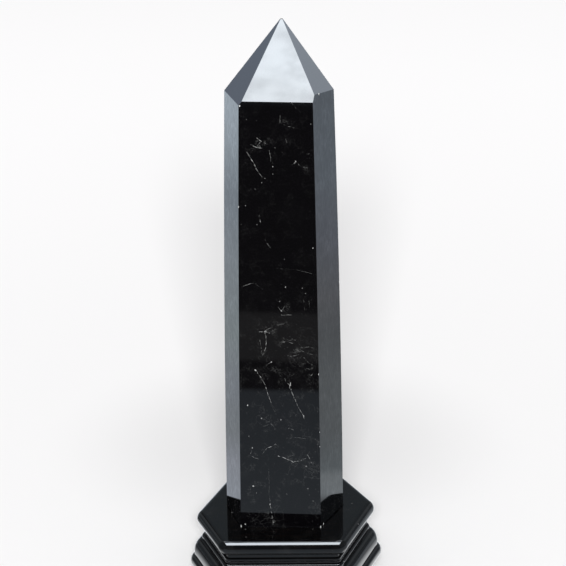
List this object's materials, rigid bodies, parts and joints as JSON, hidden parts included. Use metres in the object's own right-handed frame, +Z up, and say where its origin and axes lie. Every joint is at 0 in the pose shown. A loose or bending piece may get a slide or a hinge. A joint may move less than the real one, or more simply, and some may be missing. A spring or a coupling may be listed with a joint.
{
  "type": "morion quartz crystal point on a stand",
  "caption": "Tall polished six-sided black quartz point standing upright in the seat of a low hexagonal black-lacquered wooden stand with stepped mouldings.",
  "frame": {"origin": "on the surface that the stand rests on, under the middle of the stand", "axes": "+Z up along the crystal, -Y towards the front face, +X to the right seen from the front"},
  "size_m": [0.0908, 0.081, 0.2696],
  "materials": {
    "morion": "polished black quartz, practically opaque, with pale healed cracks and flecks under the surface",
    "black_lacquer": "turned and carved wood under high-gloss black lacquer"
  },
  "bodies": {
    "root": {"crystal": "morion", "stand_top_board": "black_lacquer", "stand_moulded_base": "black_lacquer"}
  },
  "joints": []
}
